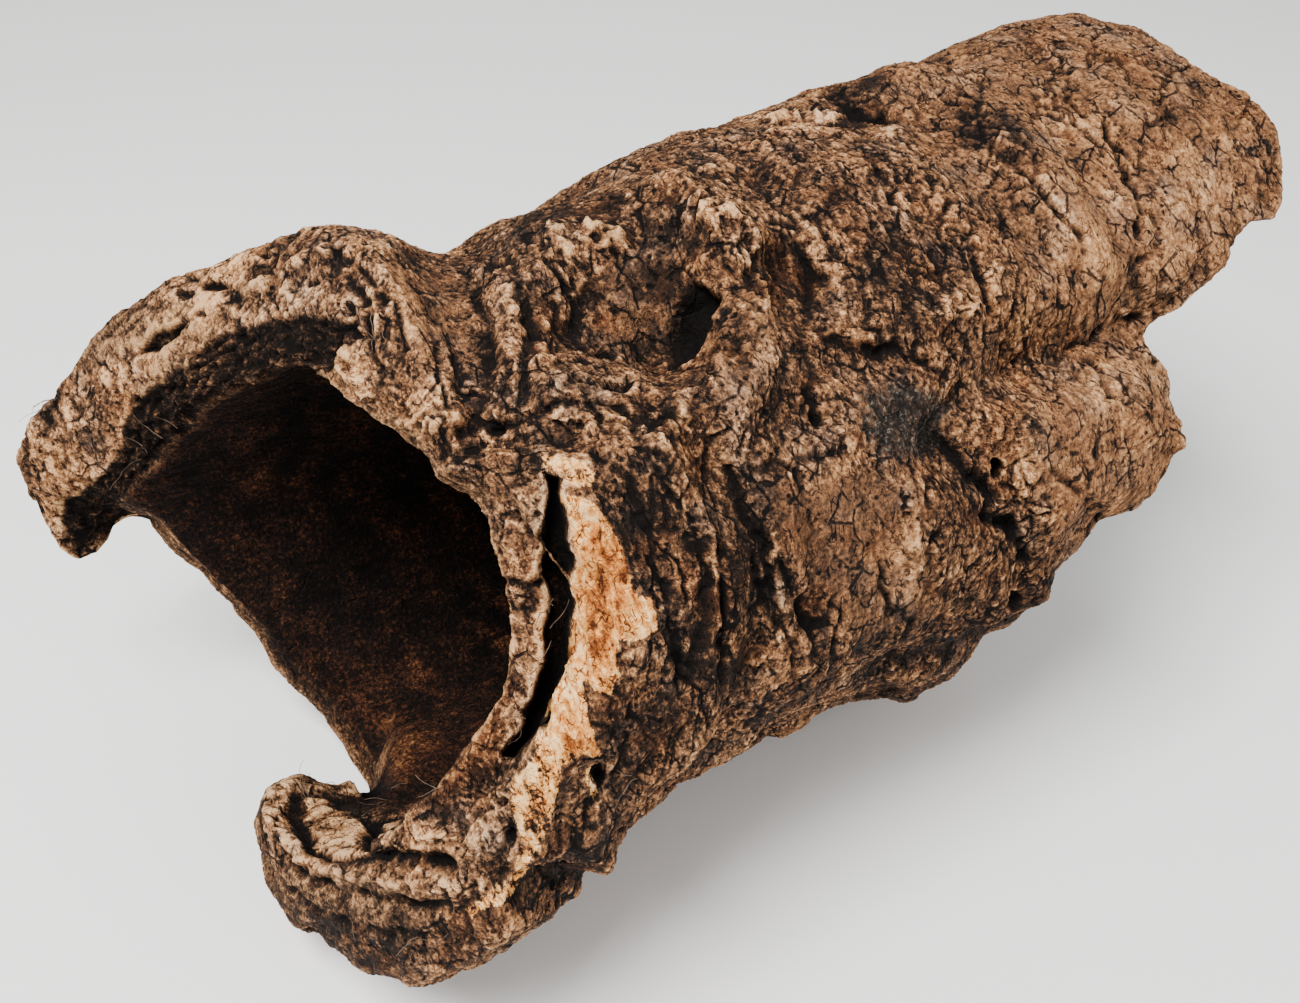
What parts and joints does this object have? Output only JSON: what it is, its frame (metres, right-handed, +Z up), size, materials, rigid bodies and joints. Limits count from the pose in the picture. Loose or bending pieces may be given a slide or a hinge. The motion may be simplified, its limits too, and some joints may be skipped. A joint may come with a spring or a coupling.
{
  "type": "piece of bark",
  "caption": "Hollow tube of rough cork bark lying on its side, with an oblique flared mouth, a bay in its lower lip, a knot hollow and a broken far end.",
  "frame": {"origin": "centre of the bounding box at the level that the bark rests on", "axes": "+X along the tube from the mouth to the broken far end, +Y to the far side, away from the side with the knot, +Z up"},
  "size_m": [0.3174, 0.1758, 0.175],
  "materials": {
    "bark": "rough, matt, cracked cork bark"
  },
  "bodies": {
    "root": {"bark": "bark"}
  },
  "joints": []
}
